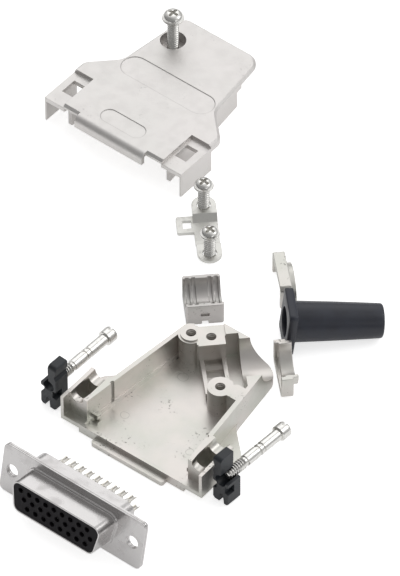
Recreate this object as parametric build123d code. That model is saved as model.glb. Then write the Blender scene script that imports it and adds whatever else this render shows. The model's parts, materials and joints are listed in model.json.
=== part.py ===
from build123d import *
import math
import os

# D-sub connector kit, laid out in pieces on a table: a screened metal hood in two halves with a
# 45 degree cable exit, its screws, cable clamp, cable boot and jackscrews, and the 26 way
# high density socket that it is made for. Millimetres, +Z up, the table is z = 0.
# Each function makes one piece in its own frame. The places of the pieces are set at the end.

# Screws: 4-40 unified thread all through the kit
thread_diameter = 2.84
tapped_hole_diameter = 2.26
screw_hole_clearance = 0.18
screw_hole_diameter = thread_diameter + 2 * screw_hole_clearance
drive_depth = 1.0
drive_width = 0.62
drive_length = 2.5
cover_screw_length = 15.0
cover_screw_head_diameter = 5.2
cover_screw_head_height = 1.9
clamp_screw_length = 8.0
clamp_screw_head_diameter = 4.6
clamp_screw_head_height = 1.8
head_chamfer = 0.75

# Connector: shell size for 15 ways, which holds 26 high density contacts. The rows of contacts
# set the nose, the nose sets the rear can and the flange, and the flange sets the hood.
contact_pitch = 2.29
contact_row_pitch = 1.98
contact_rows = (9, 9, 8)
contact_row_steps = (-0.25, 0.25, 0.25)
contact_diameter = 1.3
contact_bore_diameter = 0.8
contact_bore_depth = 5.0
contact_recess = 0.9
contact_fit = 0.04
contact_sides = 6
solder_cup_bore = 0.85
solder_cup_length = 5.2
solder_cup_opening = 2.6
nose_side_margin = 5.195
nose_top_margin = 3.94
nose_width = (max(contact_rows) - 0.5) * contact_pitch + nose_side_margin
nose_height = (len(contact_rows) - 1) * contact_row_pitch + nose_top_margin
nose_depth = 6.0
nose_wall = 0.4
nose_side_angle = 10
nose_corner_radius = 1.9
nose_foot = 0.5
can_side_step = 2.85
can_top_step = 3.3
can_width = nose_width + can_side_step
can_height = nose_height + can_top_step
can_depth = 3.7
can_wall = 0.5
can_corner_radius = 2.6
can_edge_chamfer = 0.3
can_lip = 1.5
flange_hole_margin = 8.66
flange_end_margin = 5.82
flange_rim = 1.35
flange_hole_spacing = nose_width + flange_hole_margin
flange_width = flange_hole_spacing + flange_end_margin
flange_height = can_height + flange_rim
flange_corner_radius = 1.3
flange_hole_diameter = 3.05
front_plate_thickness = 0.5
rear_plate_thickness = 0.6
insulator_fit = 0.05
insulator_recess = 0.15
insulator_tail = 0.8

# Hood: both halves follow one bottle-shaped outline
flange_overhang = 0.07
shell_width = flange_width - 2 * flange_overhang
cover_skirt = 0.5
cover_fit = 0.1
cover_edge_chamfer = 0.6
hood_depth = 40.2
ear_length = 14.3
ear_corner_radius = 2.4
shoulder_radius = 5.0
neck_width = 27.4
neck_start = 20.6
back_width = 22.8
back_corner_radius = 2.2
rim_overhang = 0.8
tongue_corner_radius = 4.0
hood_wall = 1.1
floor_thickness = 1.2
pad_step = 1.2
half_height = 8.1
belly_half_width = 14.5
ledge_width = 0.45
front_tab_width = 19.8
front_tab_reach = 1.7
front_tab_thickness = 1.2
seat_spacing = flange_hole_spacing
seat_radius = 1.9
ear_recess_depth = 2.3
ear_back = 10.2
ear_skin = 0.8
seat_pocket_width = 3.6
seat_pocket_start = 3.9
seat_pocket_length = 4.7
seat_collar_radius = 2.9
seat_collar_length = 0.9
cover_window_width = 3.2
cover_window_length = 4.4
counterbore_clearance = 0.42
counterbore_extra_depth = 1.1
boss_wall = 0.9
label_depth = 0.15
small_label = (12.2, 4.2)
small_label_y = 3.9
large_label = (26.0, 6.5)
large_label_y = 20.0
ejector_mark_place = (-6.7, 26.0)
ejector_mark_radius = 1.2
tapped_hole_depth = 5.9

# Cable exit: everything on it is set along the exit direction, 45 degrees to the hood
exit_angle = 45
clamp_centre_x = 0.7
clamp_centre_y = hood_depth - 10.8
clamp_hole_spacing = 15.2
post_diameter = 5.8
cover_post_x = -8.4
cover_post_y = hood_depth - 7.9
cover_post_ring_height = 0.4
post_drop = 0.5
exit_width = 13.4
exit_start = 4.2
slot_fit = 0.15
slot_half_width = 7.5
corner_cut = 10.9
corner_rim = 0.35
seat_rib_thickness = 0.9
seat_rib_height = 1.9

# Cable saddle and strap
saddle_length = 8.5
saddle_width = 9.8
saddle_height = 5.7
saddle_channel_radius = 3.9
saddle_rib_height = 0.35
saddle_rib_width = 0.6
saddle_flat_half_length = 1.4
saddle_grooves = 2
strap_width = 5.6
strap_thickness = 0.8
strap_joggle = 1.5
strap_middle_length = 6.6
strap_tongue_length = 3.8
strap_tongue_slot = 2.0
strap_tongue_offset = 3.0
strap_tongue_width = 5.2

# Boot and its split retaining frame
frame_width = 12.5
frame_height = 12.4
frame_thickness = 2.7
frame_chamfer = 0.9
frame_collar_length = 1.2
frame_collar_wall = 0.9
frame_pocket_depth = 0.9
boot_neck_diameter = 9.3
boot_neck_clearance = 0.1
boot_tip_diameter = 7.8
boot_length = 20.0
boot_bore_diameter = 6.8
boot_flange_width = 10.0
boot_flange_height = 12.0
boot_flange_thickness = 2.0
boot_flange_clearance = 0.15
boot_tip_chamfer = 0.4

# Jackscrew and its clip
jackscrew_length = 19.0
jackscrew_thread_length = 5.2
jackscrew_core_diameter = 2.2
jackscrew_shank_diameter = 2.7
jackscrew_ring_width = 0.6
jackscrew_head_diameter = 3.7
jackscrew_head_length = 2.6
jackscrew_slot_width = 0.6
jackscrew_slot_depth = 1.1
clip_width = 4.4
clip_depth = 4.0
clip_arm = 0.65
clip_waist = 1.0
clip_notch_height = 2.6
clip_height = 13.0
clip_axis_height = 6.6
clip_seat_offset = 0.05
clip_bore_clearance = 0.08
clip_grip = 1.8

# Places on the table, in the frame of the lower shell's front edge
shell_place = (-0.5, 0.0)
shell_turn = 1.2
cover_place = (-63.25, hood_depth + 29.8)
connector_place = (1.6, -22.1)
connector_turn = 0.5
strap_place = (-31.0, hood_depth + 24.0)
strap_turn = -46
saddle_place = (-17.4, hood_depth + 5.8)
upper_frame_place = (-8.4, hood_depth + 20.7)
lower_frame_place = (9.07, hood_depth - 0.89)
frame_turn = 47
boot_place = (2.5, hood_depth + 8.8)
boot_turn = 45.5
left_pair_place = (-shell_width / 2 - 5.45, 3.4)
right_pair_place = (shell_width / 2 + 2.7, 5.1)
left_pair_turn = -1.7
right_pair_turn = -3.6


def prism(face, low, high):
    # A flat outline raised from one height to another
    return extrude(Pos(0, 0, low) * face, high - low)


def block(low, high):
    # A box between two corners
    size = [b - a for a, b in zip(low, high)]
    middle = [(a + b) / 2 for a, b in zip(low, high)]
    return Pos(*middle) * Box(*size)


def tube_along_y(radius, start, end):
    # A cylinder about the Y axis between two depths
    return Pos(0, (start + end) / 2, 0) * Rot(90, 0, 0) * Cylinder(radius, end - start)


def polygon(*points):
    return make_face(Polyline(*points, close=True))


def round_corners(face, radius, choose):
    corners = [v for v in face.vertices() if choose(v)]
    return fillet(corners, radius)


def half_turn(shape):
    # The same shape mirrored to the other side of the hood
    return mirror(shape, Plane.YZ)


# Hood outline


def hood_outline(width, inset):
    # Front corners, ears, shoulders and neck; the exit corner at the back right is the rounder one
    half = width / 2
    neck = neck_width / 2 - inset
    back = back_width / 2 - inset
    depth = hood_depth - inset
    right = [(half, 0), (half, ear_length), (neck, neck_start), (back, depth)]
    left = [(-x, y) for x, y in reversed(right)]
    face = polygon(*right, *left)
    face = round_corners(face, ear_corner_radius, lambda v: abs(v.Y - ear_length) < 0.01)
    face = round_corners(face, shoulder_radius, lambda v: abs(v.Y - neck_start) < 0.01)
    face = round_corners(face, back_corner_radius, lambda v: v.Y > depth - 0.01 and v.X < 0)
    return round_corners(face, tongue_corner_radius, lambda v: v.Y > depth - 0.01 and v.X > back - 0.01)


def neck_half(y, inset=0.0):
    # Half width over the neck's walls at a depth, less an inset from their outside
    taper = (neck_width - back_width) / 2 / (hood_depth - neck_start)
    return neck_width / 2 - rim_overhang + (neck_start - y) * taper - inset


def neck_face(front, inset):
    # The neck carried forward to the ears, drawn in by the inset on its sides and back
    back = hood_depth - rim_overhang - inset
    corner = max(back_corner_radius - inset, 0.5)
    near = neck_half(front, inset)
    far = neck_half(back, inset)
    face = polygon((-near, front), (near, front), (far, back), (-far, back))
    return round_corners(face, corner, lambda v: v.Y > back - 0.01)


def on_exit(along, across):
    # Plan position from a distance along the exit and one across it, from the clamp's centre
    turn = math.radians(exit_angle)
    x = clamp_centre_x + along * math.cos(turn) + across * math.sin(turn)
    y = clamp_centre_y + along * math.sin(turn) - across * math.cos(turn)
    return x, y


def exit_frame(height=0.0):
    return Pos(clamp_centre_x, clamp_centre_y, height) * Rot(0, 0, exit_angle)


def exit_cut(low, high):
    # The open corner of the hood's wall that the boot's frame stands in
    mouth = block((exit_start, -exit_width / 2, low), (hood_depth, exit_width / 2, high))
    return exit_frame() * mouth


def frame_slot(low, high):
    # Start and end of the slot that the boot's frame drops into, and the slot itself
    start = post_diameter / 2 + 0.05
    end = start + frame_thickness + 2 * slot_fit
    return start, end, exit_frame() * block((start, -slot_half_width, low), (end, slot_half_width, high))


def shell_outline():
    # The hood's outline inside the cover's rim; its back left corner is cut off behind the strap
    # and goes round the cover's post
    outline = hood_outline(shell_width, rim_overhang)
    beyond = exit_frame() * Pos(0, corner_cut + hood_depth / 2) * Rectangle(2 * hood_depth, hood_depth)
    round_post = Pos(cover_post_x, cover_post_y) * Circle(post_diameter / 2 + corner_rim)
    return (outline - beyond) + (outline & round_post)


# Lower half of the hood


def jackscrew_ear(side_width):
    # Right-hand seat for a jackscrew: front recess, pocket and half-round notches
    seat = seat_spacing / 2
    outer = side_width / 2
    inner = neck_half(ear_recess_depth, hood_wall)
    body = block((inner, ear_recess_depth, pad_step), (outer, ear_back, half_height))
    skin = block((outer - ear_skin, 0, pad_step), (outer, ear_recess_depth, half_height))
    collar = tube_along_y(seat_collar_radius, ear_back, ear_back + seat_collar_length)
    lower_half = block((-9, ear_back, -9), (9, ear_back + seat_collar_length, 0))
    collar = Pos(seat, 0, half_height) * (collar & lower_half)
    notch = Pos(seat, 0, half_height) * tube_along_y(seat_radius, 0, ear_back + 2)
    pocket_half = seat_pocket_width / 2
    pocket_end = seat_pocket_start + seat_pocket_length
    pocket_floor = pad_step + floor_thickness
    pocket = block((seat - pocket_half, seat_pocket_start, pocket_floor),
                   (seat + pocket_half, pocket_end, half_height + 1))
    return body + skin + collar - notch - pocket


def post_plateau():
    # Solid corner that carries the cover's post and the far clamp post
    half_spacing = clamp_hole_spacing / 2
    post_radius = post_diameter / 2
    corner = neck_face(cover_post_y - post_radius, hood_wall / 2)
    block_reach = half_spacing - post_radius + 0.3
    slot_start, slot_end, slot = frame_slot(0, half_height)
    far_block = exit_frame() * block((-post_radius - 0.6, block_reach, 0),
                                     (slot_start, hood_depth, half_height))
    far_stub = exit_frame() * block((slot_start, slot_half_width, 0), (slot_end, hood_depth, half_height))
    cover_post = Pos(cover_post_x, cover_post_y, half_height / 2)
    cover_post = cover_post * Cylinder(post_radius, half_height)
    web = block((-hood_depth, cover_post_y, 0), (on_exit(0, -half_spacing)[0], hood_depth, half_height))
    solid = far_block + far_stub + cover_post + web
    return solid & prism(corner, floor_thickness, half_height)


def near_clamp_post():
    # Round post by the right wall, with the web that joins it there
    half_spacing = clamp_hole_spacing / 2
    height = half_height - post_drop
    x, y = on_exit(0, half_spacing)
    post = Pos(x, y, height / 2) * Cylinder(post_diameter / 2, height)
    web = block((x, y - 1.2, 0), (x + post_diameter, y + post_diameter / 2, height))
    inside = prism(neck_face(ear_recess_depth, hood_wall / 2), 0, half_height)
    return (post + web) & inside


def saddle_ribs():
    # Two low ribs from post to post that the saddle stands on, and short bars between them
    across = clamp_hole_spacing / 2 - post_diameter / 2 + 0.6
    top = floor_thickness + seat_rib_height
    gap = post_diameter / 2 - seat_rib_thickness
    ribs = Part()
    for side in (-1, 1):
        near = min(side * gap, side * (gap + seat_rib_thickness))
        ribs += block((near, -across, 0), (near + seat_rib_thickness, across, top))
    for place in (-1, 0, 1):
        middle = place * 3.4
        ribs += block((-gap, middle - 0.6, 0), (gap, middle + 0.6, floor_thickness + 0.7))
    return exit_frame() * ribs


def exit_tongue(outline):
    # Solid corner beyond the slot, hollowed to a round trough for the frame's collar
    slot_start, slot_end, slot = frame_slot(0, half_height)
    corner = exit_frame() * block((slot_end, -hood_depth, 0), (hood_depth, hood_depth, half_height))
    radius = boot_neck_diameter / 2 + boot_neck_clearance + frame_collar_wall + boot_neck_clearance
    trough = Pos(slot_end + hood_depth / 2, 0, 0) * Rot(0, 90, 0) * Cylinder(radius, hood_depth)
    return (corner & prism(outline, 0, half_height)), exit_frame(half_height) * trough


def lower_shell():
    outline = shell_outline()
    top_of_floor = pad_step + floor_thickness
    base = prism(outline, 0, top_of_floor)
    walls = prism(neck_face(ear_recess_depth, 0), 0, half_height) & prism(outline, 0, half_height)
    body = base + walls
    for mirrored in (False, True):
        ear = jackscrew_ear(shell_width)
        under_ear = block((belly_half_width, -1, -1), (shell_width, ear_length + 4, pad_step))
        body += half_turn(ear) if mirrored else ear
        body -= half_turn(under_ear) if mirrored else under_ear

    # Cavity, open at the front, with a ledge along the foot of its walls
    cavity = neck_face(ear_recess_depth, hood_wall)
    front_half = neck_half(ear_recess_depth, hood_wall)
    front_gap = polygon((-front_half, -1), (front_half, -1), (front_half, ear_recess_depth + 0.5),
                        (-front_half, ear_recess_depth + 0.5))
    body -= prism(cavity, top_of_floor, half_height + 1)
    body -= prism(front_gap, top_of_floor, half_height + 1)
    belly = neck_face(0.9, hood_wall + ledge_width)
    body -= prism(belly, floor_thickness, half_height)

    plateau = post_plateau() & prism(outline, 0, half_height)
    tongue, trough = exit_tongue(outline)
    body += plateau + near_clamp_post() + saddle_ribs() + tongue
    body -= trough
    body -= frame_slot(floor_thickness, half_height + 1)[2]

    # Ring on the cover's post, and the three tapped holes
    ring = Cylinder(post_diameter / 2 - 0.5, cover_post_ring_height)
    body += Pos(cover_post_x, cover_post_y, half_height + cover_post_ring_height / 2) * ring
    half_spacing = clamp_hole_spacing / 2
    holes = [(cover_post_x, cover_post_y), on_exit(0, -half_spacing), on_exit(0, half_spacing)]
    for x, y in holes:
        body -= Pos(x, y, half_height) * Cylinder(tapped_hole_diameter / 2, 2 * tapped_hole_depth)
    seat_half = strap_width / 2 + 0.4
    strap_seat = block((-seat_half, half_spacing - seat_half - 2, half_height - post_drop),
                       (seat_half, half_spacing + 2 * seat_half, half_height + 1))
    body -= exit_frame() * strap_seat

    # Front tab, snap bumps, wall grooves and ejector marks
    tab_half = front_tab_width / 2
    tab = block((-tab_half, -front_tab_reach, 0), (tab_half, 1, front_tab_thickness))
    tab_edges = tab.edges().filter_by(Axis.Z).group_by(Axis.Y)[0]
    body += fillet(tab_edges, 0.6)
    for side in (-1, 1):
        foot = neck_half(4.6, hood_wall)
        body += Pos(side * (foot - 0.6), 4.6, top_of_floor) * Box(1.4, 1.4, 1.2)
        groove_x = side * neck_half(ear_back, hood_wall)
        body -= Pos(groove_x, ear_back, half_height) * Cylinder(0.5, 2 * (half_height - top_of_floor))
    body -= Pos(*ejector_mark_place, floor_thickness) * Cylinder(ejector_mark_radius, 2 * 0.1)
    return body


# Cover of the hood, roof up as it lies


def cover():
    width = shell_width + 2 * (cover_skirt + cover_fit)
    outline = hood_outline(width, 0)
    roof_underside = half_height - floor_thickness
    pad_top = half_height - pad_step + 0.2
    pad_underside = pad_top - floor_thickness
    roof = prism(outline, pad_underside, half_height)
    roof = chamfer(roof.faces().sort_by(Axis.Z)[-1].edges(), cover_edge_chamfer)

    # Walls of the neck and the skirts beside the ears
    skirts = prism(neck_face(ear_recess_depth, 0), 0, roof_underside)
    body = roof + skirts
    cavity = neck_face(-1, hood_wall)
    body -= prism(cavity, -1, roof_underside)
    for side in (-1, 1):
        pad = block((belly_half_width, -1, pad_top), (width, ear_back + 0.6, half_height + 1))
        body -= pad if side > 0 else half_turn(pad)
        skin = block((width / 2 - cover_skirt, 0, 0), (width / 2, ear_back + 0.8, pad_underside + 0.1))
        body += skin if side > 0 else half_turn(skin)
        seat = Pos(side * seat_spacing / 2, seat_pocket_start + seat_pocket_length / 2, half_height)
        body -= seat * Box(cover_window_width, cover_window_length, 2 * half_height)
    body -= exit_cut(-1, roof_underside)

    # Boss and counterbore for the cover screw
    recess_radius = cover_screw_head_diameter / 2 + counterbore_clearance
    boss_radius = recess_radius + boss_wall
    recess_depth = cover_screw_head_height + counterbore_extra_depth
    post = Pos(cover_post_x, cover_post_y, 0)
    boss = post * Pos(0, 0, (roof_underside + 2.4) / 2) * Cylinder(boss_radius, roof_underside - 2.4)
    inside = prism(neck_face(ear_recess_depth, hood_wall / 2), 0, roof_underside)
    body += boss & inside
    body -= post * Pos(0, 0, half_height) * Cylinder(recess_radius, 2 * recess_depth)
    body -= post * Cylinder(screw_hole_diameter / 2, 2 * half_height)

    # Front lip, curved down over the connector
    lip_half = front_tab_width / 2
    lip = block((-lip_half, -front_tab_reach, half_height - 3.0), (lip_half, 3.0, half_height))
    bend = lip.edges().filter_by(Axis.X).sort_by(lambda e: e.center().Z - e.center().Y)[-1]
    lip = fillet(bend, 1.8)
    hollow = block((-lip_half, -front_tab_reach + hood_wall, 0), (lip_half, 4, roof_underside))
    body += lip - hollow

    # Shallow bare label places
    for size, y in ((small_label, small_label_y), (large_label, large_label_y)):
        body -= Pos(0, y, half_height - label_depth) * extrude(SlotOverall(*size), 1)
    return body


# Screws


def pan_head_screw(length, head_diameter, head_height):
    # Tip at the origin, head up, with a cross recess
    shank = Cylinder(thread_diameter / 2, length)
    shank = Pos(0, 0, length / 2) * chamfer(shank.edges().sort_by(Axis.Z)[0], 0.4)
    head = Pos(0, 0, head_height / 2) * Cylinder(head_diameter / 2, head_height)
    head = chamfer(head.edges().sort_by(Axis.Z)[-1], head_chamfer)
    screw = shank + Pos(0, 0, length) * head
    wing = Box(drive_length, drive_width, 2 * drive_depth)
    drive = wing + Rot(0, 0, 90) * wing + Cone(0, 0.75, 2 * drive_depth)
    return screw - Pos(0, 0, length + head_height) * drive


# Cable clamp strap, its row of holes along X, resting on its dropped middle


def cable_strap():
    half = clamp_hole_spacing / 2
    radius = strap_width / 2
    middle = strap_middle_length / 2
    ramp = strap_joggle
    rise = strap_joggle
    side = [(-half - radius, rise), (-middle - ramp, rise), (-middle, 0), (middle, 0),
            (middle + ramp, rise), (half + radius, rise)]
    upper = [(x, z + strap_thickness) for x, z in reversed(side)]
    profile = Plane.XZ * polygon(*side, *upper)
    strap = extrude(profile, strap_width / 2, both=True)
    plan = SlotOverall(clamp_hole_spacing + strap_width, strap_width)
    strap = strap & extrude(plan, rise + strap_thickness + 1)
    tongue_end = radius + strap_tongue_length
    tongue = block((-strap_tongue_width / 2, -tongue_end, 0), (strap_tongue_width / 2, 0.6 - radius, strap_thickness))
    tongue = fillet(tongue.edges().filter_by(Axis.Z).group_by(Axis.Y)[0], 0.5)
    slot_start = radius + 0.4
    slot = block((-1.2, -slot_start - strap_tongue_slot, -1), (1.2, -slot_start, 1 + strap_thickness))
    strap += Pos(-strap_tongue_offset, 0, 0) * (tongue - slot)
    for place in (-half, half):
        strap -= Pos(place, 0, rise) * Cylinder(screw_hole_diameter / 2, 4 * strap_thickness)
    return strap


# Cable saddle, its channel along X


def cable_saddle():
    body = block((-saddle_length / 2, -saddle_width / 2, 0),
                 (saddle_length / 2, saddle_width / 2, saddle_height))
    body = chamfer(body.edges().filter_by(Axis.Z), 0.35)
    axis = Pos(0, 0, saddle_height + 0.4) * Rot(0, 90, 0)
    channel_radius = saddle_channel_radius
    body -= axis * Cylinder(channel_radius, 2 * saddle_length)
    groove_radius = channel_radius + saddle_rib_height
    groove_pitch = (saddle_length / 2 - saddle_flat_half_length) / saddle_grooves
    groove_width = groove_pitch - saddle_rib_width
    for side in (-1, 1):
        for step in range(saddle_grooves):
            start = saddle_flat_half_length + step * groove_pitch
            place = Pos(side * (start + groove_width / 2), 0, saddle_height + 0.4) * Rot(0, 90, 0)
            body -= place * Cylinder(groove_radius, groove_width)
    # Small window and foot notch on each long face
    for side in (-1, 1):
        face = side * saddle_width / 2
        body -= Pos(0, face, 0) * Box(1.5, 2.0, 1.8)
        body -= Pos(0, face, 2.9) * Box(1.9, 0.8, 0.9)
    return body


# Half of the boot's retaining frame: an arch that stands on its legs, the boot's way out is +X


def frame_half():
    half = frame_width / 2
    height = frame_height / 2
    opening = boot_neck_diameter / 2 + boot_neck_clearance
    collar = opening + frame_collar_wall
    arch = block((0, -half, 0), (frame_thickness, half, height))
    top_edges = arch.edges().filter_by(Axis.X).group_by(Axis.Z)[-1]
    arch = chamfer(top_edges, frame_chamfer)
    ring_length = frame_thickness + frame_collar_length
    ring = Pos(ring_length / 2, 0, 0) * Rot(0, 90, 0) * Cylinder(collar, ring_length)
    ring = ring & block((0, -half, 0), (ring_length, half, height))
    arch += ring
    arch -= Pos(ring_length / 2, 0, 0) * Rot(0, 90, 0) * Cylinder(opening, 2 * ring_length)
    pocket_half = boot_flange_width / 2 + boot_flange_clearance
    pocket_height = boot_flange_height / 2 - 0.9
    arch -= block((-1, -pocket_half, -1), (frame_pocket_depth, pocket_half, pocket_height))
    return arch


# Cable boot: a flange plate and a tapered tube that goes out along +X


def cable_boot():
    plate = block((0, -boot_flange_width / 2, 0),
                  (boot_flange_thickness, boot_flange_width / 2, boot_flange_height))
    plate = fillet(plate.edges().filter_by(Axis.X), 0.8)
    axis = boot_flange_height / 2
    start = boot_flange_thickness
    end = boot_flange_thickness + boot_length
    neck = boot_neck_diameter / 2
    tip = boot_tip_diameter / 2
    bore = boot_bore_diameter / 2
    profile = polygon((start - 0.5, 0), (end, 0), (end, tip), (start, neck), (start - 0.5, neck))
    tube = revolve(Plane.XZ * profile, Axis.X)
    tube = chamfer(tube.edges().filter_by(GeomType.CIRCLE).sort_by(Axis.X)[-1], boot_tip_chamfer)
    boot = plate + Pos(0, 0, axis) * tube
    way = Pos(end / 2, 0, axis) * Rot(0, 90, 0) * Cylinder(bore, 2 * end)
    return boot - way


# Jackscrew along +Y: thread tip at y = 0, slotted head at the far end


def jackscrew():
    thread = thread_diameter / 2
    core = jackscrew_core_diameter / 2
    shank = jackscrew_shank_diameter / 2
    head = jackscrew_head_diameter / 2
    ring = jackscrew_ring_width
    neck_end = jackscrew_thread_length + ring
    head_start = jackscrew_length - jackscrew_head_length
    outline = [(0, 0), (thread - 0.4, 0), (thread, 0.4), (thread, jackscrew_thread_length),
               (core, jackscrew_thread_length), (core, neck_end), (shank, neck_end)]
    outline += [(shank, head_start), (head, head_start), (head, jackscrew_length - 0.35),
                (head - 0.35, jackscrew_length), (0, jackscrew_length)]
    screw = revolve(polygon(*outline), Axis.Y)
    slot = Pos(0, jackscrew_length, 0) * Box(jackscrew_slot_width, 2 * jackscrew_slot_depth, 9)
    return screw - slot


# Retaining clip of the left jackscrew: two legs under a narrow waist, a cradle that is open on
# its upper outer side, and a tall arm with a hooked top on the inner side, +X. The cradle is along Y.


def retaining_clip():
    half = clip_width / 2
    top = clip_height
    axis = clip_axis_height
    bore = thread_diameter / 2 + clip_bore_clearance
    seat = clip_seat_offset
    neck = seat + bore + clip_arm
    notch = clip_notch_height
    legs = [(-half, 0.5), (-half + 0.5, 0), (-half + 1.2, 0), (-0.6, notch), (0.2, notch),
            (half - 1.8, 0), (half - 0.5, 0), (half, 0.5)]
    hook = [(half, axis + 2.6), (neck - 0.5, axis + 3.4), (half, top - 1.8), (half, top - 0.3)]
    over = [(half - 0.3, top), (-0.1, top), (-0.1, top - 2.2), (seat, axis + bore), (seat, axis),
            (-half, axis)]
    body = extrude(Plane.XZ * polygon(*legs, *hook, *over), clip_depth / 2, both=True)
    front_top = body.edges().filter_by(Axis.X).group_by(Axis.Z)[-1].sort_by(Axis.Y)[0]
    body = fillet(front_top, 1.0)
    # The waist and its barbs are cut in the front half of the depth only
    for side in (-1, 1):
        waist = polygon((side * half * 2, notch + 0.3), (side * (half - clip_waist), notch + 1.0),
                        (side * (half - clip_waist), axis - 1.1), (side * half * 2, axis - 0.5))
        body -= extrude(Plane.XZ * waist, clip_depth)
    # The inner leg is short in depth
    body -= block((0.2, -0.2, -1), (half + 1, clip_depth, notch * 0.7))
    return body - Pos(seat, 0, axis) * tube_along_y(bore, -clip_depth, clip_depth)


# Connector: faces the front, -Y, with the back of its front plate at y = 0 and its axis at z = 0


def d_outline(width, height, radius):
    # Rounded D outline, wider at the top
    lean = math.tan(math.radians(nose_side_angle)) * height / 2
    top = width / 2
    bottom = top - 2 * lean
    face = polygon((-top, height / 2), (top, height / 2), (bottom, -height / 2), (-bottom, -height / 2))
    return fillet(face.vertices(), radius)


def upright(face, front, back):
    # An outline drawn in the plane of the flange, raised from one depth to another
    return extrude(Plane.XZ.offset(-front) * face, -(back - front))


def flange_face():
    face = RectangleRounded(flange_width, flange_height, flange_corner_radius)
    for side in (-1, 1):
        face -= Pos(side * flange_hole_spacing / 2, 0) * Circle(flange_hole_diameter / 2)
    return face


def connector_front_shell():
    plate = upright(flange_face(), -front_plate_thickness, 0)
    outer = d_outline(nose_width, nose_height, nose_corner_radius)
    shell = plate + upright(outer, -front_plate_thickness - nose_depth, 0)
    # Drawn foot of the nose, one plate thickness round it
    foot = d_outline(nose_width + 2 * nose_foot, nose_height + 2 * nose_foot, nose_corner_radius + nose_foot)
    shell += upright(foot, -front_plate_thickness - 0.35, 0)
    inner = d_outline(nose_width - 2 * nose_wall, nose_height - 2 * nose_wall,
                      nose_corner_radius - nose_wall)
    return shell - upright(inner, -front_plate_thickness - nose_depth - 1, 1)


def connector_rear_shell():
    back = rear_plate_thickness + can_depth
    shell = upright(flange_face(), 0, rear_plate_thickness)
    can = upright(d_outline(can_width, can_height, can_corner_radius), 0, back)
    can = chamfer(can.faces().sort_by(Axis.Y)[-1].edges(), can_edge_chamfer)
    hollow = d_outline(can_width - 2 * can_wall, can_height - 2 * can_wall, can_corner_radius - can_wall)
    window = d_outline(can_width - 2 * can_lip, can_height - 2 * can_lip, can_corner_radius - can_wall)
    return shell + can - upright(hollow, -1, back - can_wall) - upright(window, -1, back + 1)


def contact_places():
    places = []
    for row, count in enumerate(contact_rows):
        z = (1 - row) * contact_row_pitch
        middle = contact_row_steps[row] * contact_pitch
        for i in range(count):
            places.append((middle + (i - (count - 1) / 2) * contact_pitch, z))
    return places


def with_bores(body, diameter, front, back):
    hole = RegularPolygon(diameter / 2, contact_sides)
    bores = Sketch() + [Pos(x, z) * hole for x, z in contact_places()]
    return body - upright(bores, front, back)


def connector_front_insulator():
    # Block in the nose with its collar behind the front plate
    gap = insulator_fit
    front = -front_plate_thickness - nose_depth
    nose = d_outline(nose_width - 2 * nose_wall - 2 * gap, nose_height - 2 * nose_wall - 2 * gap,
                     nose_corner_radius - nose_wall - gap)
    collar = d_outline(can_width - 2 * can_wall - 2 * gap, can_height - 2 * can_wall - 2 * gap,
                       can_corner_radius - can_wall - gap)
    collar_end = (rear_plate_thickness + can_depth - can_wall) / 2
    body = upright(nose, front + insulator_recess, 0) + upright(collar, 0, collar_end)
    return with_bores(body, contact_diameter + 2 * contact_fit, front, collar_end + 1)


def connector_rear_insulator():
    gap = insulator_fit
    start = (rear_plate_thickness + can_depth - can_wall) / 2
    end = rear_plate_thickness + can_depth - can_wall
    collar = d_outline(can_width - 2 * can_wall - 2 * gap, can_height - 2 * can_wall - 2 * gap,
                       can_corner_radius - can_wall - gap)
    tail = d_outline(can_width - 2 * can_lip - 2 * gap, can_height - 2 * can_lip - 2 * gap,
                     can_corner_radius - can_wall)
    body = upright(collar, start, end) + upright(tail, start, end + can_wall + insulator_tail)
    return with_bores(body, contact_diameter + 2 * contact_fit, start - 1, end + 9)


def contact():
    # Barrel with the socket bore at the front and an open solder cup at the back. It comes 26
    # times, so its round parts are drawn with few sides.
    front = -front_plate_thickness - nose_depth + insulator_recess + contact_recess
    back = rear_plate_thickness + can_depth + insulator_tail
    cup_end = back + solder_cup_length

    def rod(diameter, start, end):
        return upright(RegularPolygon(diameter / 2, contact_sides), start, end)

    body = rod(contact_diameter, front, cup_end)
    body -= rod(contact_bore_diameter, front - 1, front + contact_bore_depth)
    body -= rod(solder_cup_bore, cup_end - solder_cup_opening - 0.8, cup_end + 1)
    opening = block((-2, cup_end - solder_cup_opening, 0.05), (2, cup_end + 1, 2))
    return body - opening


# How a tilted piece comes to rest: the lean that brings two of its low corners to the table


def connector_lean():
    # It leans back from the flange's rear foot on to the chamfered lower edge of the rear can
    reach = can_depth - can_edge_chamfer
    rise = (flange_height - can_height) / 2
    return math.degrees(math.atan2(rise, reach))


def boot_lean():
    # It tips forward from the flange's front foot on to the chamfered edge of its tip
    taper = (boot_neck_diameter - boot_tip_diameter) / 2 / boot_length
    reach = boot_length - boot_tip_chamfer
    rise = boot_flange_height / 2 - boot_tip_diameter / 2 - taper * boot_tip_chamfer
    return math.degrees(math.atan2(rise, reach))


def stand(shape):
    # Lowest point on the table
    return Pos(0, 0, -shape.bounding_box().min.Z) * shape


# The kit on the table

pieces = {}

shell_at = Pos(*shell_place, 0) * Rot(0, 0, shell_turn)
pieces["lower_shell"] = shell_at * lower_shell()
cover_at = Pos(*cover_place, 0)
pieces["cover"] = cover_at * cover()

cover_screw = pan_head_screw(cover_screw_length, cover_screw_head_diameter, cover_screw_head_height)
pieces["cover_screw"] = cover_at * Pos(cover_post_x, cover_post_y, 0) * cover_screw

strap_at = Pos(*strap_place, 0) * Rot(0, 0, strap_turn)
pieces["cable_strap"] = strap_at * cable_strap()
clamp_screw = pan_head_screw(clamp_screw_length, clamp_screw_head_diameter, clamp_screw_head_height)
for name, side in (("far_clamp_screw", -1), ("near_clamp_screw", 1)):
    pieces[name] = strap_at * Pos(side * clamp_hole_spacing / 2, 0, 0) * clamp_screw

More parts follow.
